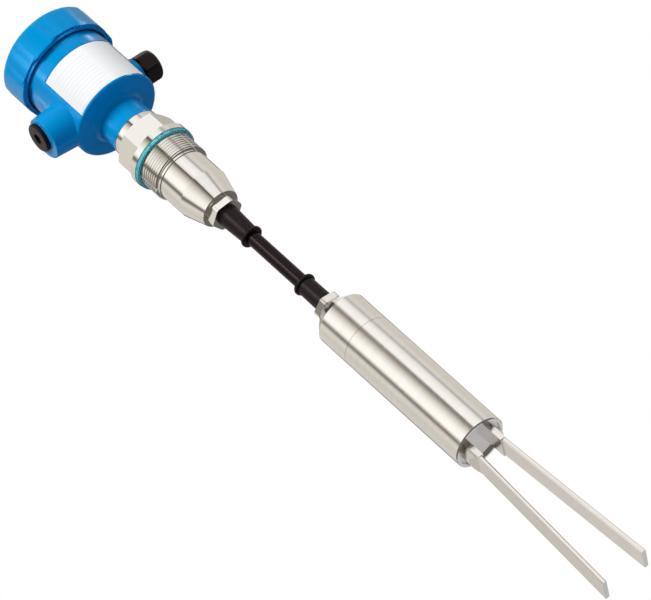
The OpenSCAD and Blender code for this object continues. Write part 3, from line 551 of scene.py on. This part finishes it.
def grip_slopes():
    """Slopes that lead from the cover's grip pads down to its skirt."""
    steps = 3
    arc_steps = 6
    fade = math.radians(75)
    lift = 0.00002
    sink = 0.00005
    arc_low = COVER_TOP - GRIP_EDGE_R - GRIP_STEP
    outline = [(COVER_R - 2 * GRIP_STEP, GRIP_FOOT), (COVER_R, GRIP_FOOT)]
    for k in range(arc_steps + 1):
        t = fade * k / arc_steps
        drawn_in = GRIP_EDGE_R * (1 - math.cos(t))
        outline.append((COVER_R - drawn_in, arc_low + GRIP_EDGE_R * math.sin(t)))
    outline.append((COVER_R - GRIP_EDGE_R, arc_low - GRIP_EDGE_R))
    places = [Vector((r * math.cos(GRIP_HALF), r * math.sin(GRIP_HALF), z)) for r, z in outline]
    bpy.ops.object.select_all(action="DESELECT")
    bpy.ops.mesh.primitive_plane_add(size=0.001)
    slopes = bpy.context.object
    slopes.name = "cover_grip_slopes"
    edit_all(slopes)
    bpy.ops.mesh.merge(type="CENTER")
    bpy.ops.transform.translate(value=places[0])
    for here, there in zip(places, places[1:]):
        bpy.ops.mesh.extrude_vertices_move(TRANSFORM_OT_translate={"value": there - here})
    bpy.ops.mesh.select_all(action="SELECT")
    bpy.ops.mesh.edge_face_add()
    bpy.ops.mesh.spin(steps=steps, angle=-GRIP_SIDE, center=(0, 0, 0), axis=(0, 0, 1))
    for k in range(1, steps + 1):
        turn = GRIP_HALF + GRIP_SIDE * k / steps
        pick_by_turn(slopes, turn)
        outward = -GRIP_STEP * k / steps + (lift if k < steps else -sink)
        bpy.ops.transform.translate(value=(outward * math.cos(turn), outward * math.sin(turn), 0))
    bpy.ops.mesh.select_all(action="SELECT")
    bpy.ops.mesh.duplicate()
    bpy.ops.transform.mirror(constraint_axis=(False, True, False), center_override=(0, 0, 0))
    bpy.ops.mesh.select_all(action="SELECT")
    others = GRIP_PADS - 1
    bpy.ops.mesh.spin(steps=others, dupli=True, angle=math.tau * others / GRIP_PADS,
                      center=(0, 0, 0), axis=(0, 0, 1))
    bpy.ops.mesh.select_all(action="SELECT")
    bpy.ops.mesh.normals_make_consistent(inside=False)
    leave_edit_mode()
    slopes.rotation_euler = (0, 0, GRIP_MIDDLE)
    pick(slopes)
    bpy.ops.object.transform_apply(location=True, rotation=True, scale=True)
    smooth_edges(slopes, 25)
    dress(slopes, slot_of["cover"])
    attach(slopes, nodes["cover"]["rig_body"])
    return slopes


threaded_connection()
rope_pieces = [bending_rope(), smoothed("upper_sleeve", 35), smoothed("lower_sleeve", 35)]
head_pieces = [smoothed(node, 25) for node in ("housing", "cover", "gland_nut")] + [grip_slopes()]


# Camera at the photograph's angle, rolled so that the switch lies across the frame

AZIMUTH = math.radians(-19.0)
ELEVATION = math.radians(-31.7)
ROLL = math.radians(42.05)
DISTANCE = 4.0
SENSOR_MM = 36.0
LENS_MM = 311.67
TARGET = Vector((-0.01158, -0.03941, -0.20857))
front = Vector((math.sin(AZIMUTH), -math.cos(AZIMUTH), 0.0))
side = Vector((math.cos(AZIMUTH), math.sin(AZIMUTH), 0.0))
back = front * math.cos(ELEVATION) + Vector((0, 0, math.sin(ELEVATION)))
down_axis = Vector((0, 0, -1)) * math.cos(-ELEVATION) - front * math.sin(-ELEVATION)
across = back.cross(down_axis)
right = down_axis * math.cos(ROLL) + across * math.sin(ROLL)
up = across * math.cos(ROLL) - down_axis * math.sin(ROLL)
lens = bpy.data.cameras.new("photo_camera")
lens.sensor_width = SENSOR_MM
lens.lens = LENS_MM
lens.clip_start = 0.1
lens.clip_end = 60.0
camera = bpy.data.objects.new("photo_camera", lens)
scene.collection.objects.link(camera)
turned = Matrix((right, up, back)).transposed().to_4x4()
camera.matrix_world = Matrix.Translation(TARGET + back * DISTANCE) @ turned
scene.camera = camera


# Studio: pale floor, surround that only shows in reflections, soft lamps and a white background

def pale_floor():
    """Pale paper that fades into white far away, and that can be looked through from below."""
    bpy.ops.object.select_all(action="DESELECT")
    bpy.ops.mesh.primitive_grid_add(x_subdivisions=8, y_subdivisions=8, size=14.0,
                                    location=(0, 0, FLOOR_Z))
    floor = bpy.context.object
    floor.name = "floor"
    f = Finish("floor_paper")
    paper = f.noise(40.0, 3.0)
    pale = f.ramp(paper, [(0.3, (0.71, 0.71, 0.70)), (0.7, (0.74, 0.74, 0.73))])
    straight = f.tree.nodes.new("ShaderNodeLightPath").outputs["Is Camera Ray"]
    f.set(Base_Color=f.mix(straight, (0.46, 0.53, 0.72), pale))
    f.set(Roughness=0.8, Specular_IOR_Level=0.1)
    x, y = f.parts()[:2]
    away = f.math("SQRT", f.math("ADD", f.math("MULTIPLY", x, x), f.math("MULTIPLY", y, y)))
    glow = f.math("MULTIPLY", straight, f.span(away, 0.5, 1.0, 0.6, 4.5))
    f.set(Emission_Color=(0.98, 0.985, 1.0), Emission_Strength=glow)
    clear = f.tree.nodes.new("ShaderNodeBsdfTransparent")
    side_seen = f.tree.nodes.new("ShaderNodeNewGeometry").outputs["Backfacing"]
    either = f.tree.nodes.new("ShaderNodeMixShader")
    f.link(side_seen, either.inputs[0])
    f.link(f.shader.outputs[0], either.inputs[1])
    f.link(clear.outputs[0], either.inputs[2])
    f.link(either.outputs[0], f.out.inputs["Surface"])
    floor.data.materials.append(f.material)
    floor.visible_glossy = False


def only_reflected(card, f, tone):
    """Lets a piece of the studio glow in a tone, and show in reflections alone."""
    glow = f.tree.nodes.new("ShaderNodeEmission")
    f.link(tone, glow.inputs["Color"])
    f.link(glow.outputs[0], f.out.inputs["Surface"])
    card.data.materials.append(f.material)
    card.visible_camera = False
    card.visible_diffuse = False
    card.visible_transmission = False
    card.visible_volume_scatter = False
    card.visible_shadow = False


def reflected_surround():
    """A large dome seen only in reflections: warm cards with dark strips between them."""
    bpy.ops.object.select_all(action="DESELECT")
    bpy.ops.mesh.primitive_uv_sphere_add(segments=64, ring_count=32, radius=DOME_R,
                                         location=(0, 0, DOME_Z))
    dome = bpy.context.object
    dome.name = "surround"
    bpy.ops.object.transform_apply(location=True)
    f = Finish("surround_cards")
    x, y, z = f.parts()
    ahead = f.math("ADD", f.math("MULTIPLY", x, front.x), f.math("MULTIPLY", y, front.y))
    aside = f.math("ADD", f.math("MULTIPLY", x, side.x), f.math("MULTIPLY", y, side.y))
    height = f.math("DIVIDE", f.math("ADD", z, -DOME_Z), DOME_R)
    raised = f.math("ARCSINE", height)
    lean = f.math("ADD", f.span(raised, -0.10, 0.16, math.radians(29.0), math.radians(33.8)),
                  f.span(raised, 0.24, 0.0, math.radians(23.0), math.radians(29.0)))
    turn = f.span(f.math("ADD", f.math("ARCTAN2", aside, ahead), lean), 0.0, 1.0, -math.pi, math.pi)

    def at(degrees):
        return (degrees + 180.0) / 360.0

    warm = (0.665, 0.625, 0.570)
    cards = f.ramp(turn, [
        (at(-180), (0.98, 0.97, 0.94)), (at(-173), (0.92, 0.90, 0.86)), (at(-169), (0.16, 0.15, 0.14)),
        (at(-162), (0.18, 0.17, 0.16)), (at(-152), (0.62, 0.60, 0.57)), (at(-130), (0.68, 0.66, 0.63)),
        (at(-110), warm), (at(-95), warm),
        (at(-76), (0.78, 0.74, 0.68)), (at(-70), (0.70, 0.66, 0.61)), (at(-60), (0.12, 0.10, 0.09)),
        (at(-54), (0.28, 0.25, 0.22)), (at(-44), (1.10, 1.09, 1.06)), (at(-22), (1.10, 1.09, 1.06)),
        (at(-10), (0.94, 0.92, 0.87)), (at(4), (0.68, 0.64, 0.58)), (at(14), (0.36, 0.32, 0.28)),
        (at(21), (0.09, 0.075, 0.065)), (at(25), (0.06, 0.05, 0.045)), (at(27), (0.98, 0.97, 0.95)),
        (at(40), (1.04, 1.03, 1.02)), (at(64), (0.92, 0.91, 0.89)), (at(70), (0.62, 0.60, 0.58)),
        (at(75), (0.36, 0.34, 0.33)), (at(81), (0.70, 0.68, 0.66)), (at(90), (0.74, 0.72, 0.68)),
        (at(106), warm), (at(152), warm), (at(162), (0.18, 0.17, 0.16)), (at(169), (0.16, 0.15, 0.14)),
        (at(173), (0.92, 0.90, 0.86)), (at(180), (0.98, 0.97, 0.94)),
    ])
    overhead = f.span(height, 0.0, 1.0, 0.86, 0.93)
    below = f.span(height, 1.0, 0.0, -0.45, 0.15)
    tone = f.mix(below, f.mix(overhead, cards, (0.30, 0.29, 0.28)), (0.30, 0.275, 0.245))
    tone = f.mix(f.span(height, 1.0, 0.0, -0.52, -0.34), tone, (0.14, 0.135, 0.13))
    only_reflected(dome, f, tone)


def low_card():
    """A pale card low behind the fork, which the fork's ends and the tube's mouth reflect."""
    bpy.ops.object.select_all(action="DESELECT")
    bpy.ops.mesh.primitive_grid_add(x_subdivisions=4, y_subdivisions=4, size=1.0,
                                    location=Vector((0, 0, -0.92)) - front * 0.6,
                                    rotation=front.to_track_quat("Z", "Y").to_euler())
    card = bpy.context.object
    card.name = "low_card"
    bpy.ops.transform.resize(value=(1.6, 0.6, 1.0), orient_type="LOCAL")
    bpy.ops.object.transform_apply(location=True, rotation=True, scale=True)
    f = Finish("low_card_paper")
    only_reflected(card, f, f.ramp(f.noise(2.0), [(0.3, (0.54, 0.55, 0.57)), (0.7, (0.60, 0.61, 0.63))]))


def soft_lamp(name, direction, distance, size, power):
    """A round lamp that doesn't show in the steel."""
    lamp = bpy.data.lights.new(name, "AREA")
    lamp.shape = "DISK"
    lamp.size = size
    lamp.energy = power
    obj = bpy.data.objects.new(name, lamp)
    scene.collection.objects.link(obj)
    middle = Vector((0, 0, -0.1))
    direction = direction.normalized()
    obj.location = middle + direction * distance
    obj.rotation_euler = direction.to_track_quat("Z", "Y").to_euler()
    obj.visible_glossy = False
    return obj


def linked_lamp(name, pieces, direction, size, power):
    """A lamp that lights some pieces alone."""
    lamp = soft_lamp(name, direction, 2.2, size, power)
    lit = bpy.data.collections.new("lit_by_" + name)
    for piece in pieces:
        lit.objects.link(piece)
    lamp.light_linking.receiver_collection = lit
    lamp.light_linking.blocker_collection = lit
    return lamp


def gloss_lamp(name, pieces, degrees, height, size, power):
    """A lamp at a turn from the front that shows only as gloss on some pieces."""
    turn = math.radians(degrees)
    direction = front * math.cos(turn) + side * math.sin(turn) + Vector((0, 0, height))
    lamp = linked_lamp(name, pieces, direction, size, power)
    lamp.visible_glossy = True
    lamp.visible_diffuse = False


def white_background(level):
    """White where the camera looks past the object, and a weak bluish fill elsewhere."""
    world = bpy.data.worlds.new("studio_white")
    scene.world = world
    world.use_nodes = True
    tree = world.node_tree
    tree.nodes.clear()
    out = tree.nodes.new("ShaderNodeOutputWorld")
    seen = tree.nodes.new("ShaderNodeBackground")
    fill = tree.nodes.new("ShaderNodeBackground")
    pick_one = tree.nodes.new("ShaderNodeMixShader")
    path = tree.nodes.new("ShaderNodeLightPath")
    straight = tree.nodes.new("ShaderNodeMath")
    straight.operation = "MAXIMUM"
    tree.links.new(path.outputs["Is Camera Ray"], straight.inputs[0])
    tree.links.new(path.outputs["Is Transmission Ray"], straight.inputs[1])
    seen.inputs["Color"].default_value = (1, 1, 1, 1)
    seen.inputs["Strength"].default_value = 1.0
    fill.inputs["Color"].default_value = (0.60, 0.78, 1.0, 1)
    fill.inputs["Strength"].default_value = level
    tree.links.new(straight.outputs[0], pick_one.inputs[0])
    tree.links.new(fill.outputs[0], pick_one.inputs[1])
    tree.links.new(seen.outputs[0], pick_one.inputs[2])
    tree.links.new(pick_one.outputs[0], out.inputs["Surface"])


pale_floor()
reflected_surround()
low_card()
soft_lamp("key_lamp", front * 0.75 - side * 0.35 + Vector((0, 0, 0.55)), 2.2, 0.9, 36.0)
soft_lamp("side_lamp", front * 0.60 + side * 0.75 + Vector((0, 0, 0.50)), 2.4, 0.9, 20.0)
soft_lamp("top_lamp", front * 0.15 + Vector((0, 0, 1.0)), 2.4, 1.2, 4.0)
white_background(0.08)
linked_lamp("label_lamp", [nodes["nameplate"]], front * 0.45 + side * 0.9 + Vector((0, 0, 0.2)),
            0.6, 8.0)
gloss_lamp("left_gloss", head_pieces, -50.0, 0.62, 0.7, 14.0)
gloss_lamp("far_left_gloss", head_pieces, -106.0, 0.62, 0.45, 6.0)
gloss_lamp("right_gloss", head_pieces, 104.0, 0.64, 0.5, 10.0)
gloss_lamp("rope_gloss", rope_pieces, -10.0, 0.62, 0.8, 12.0)
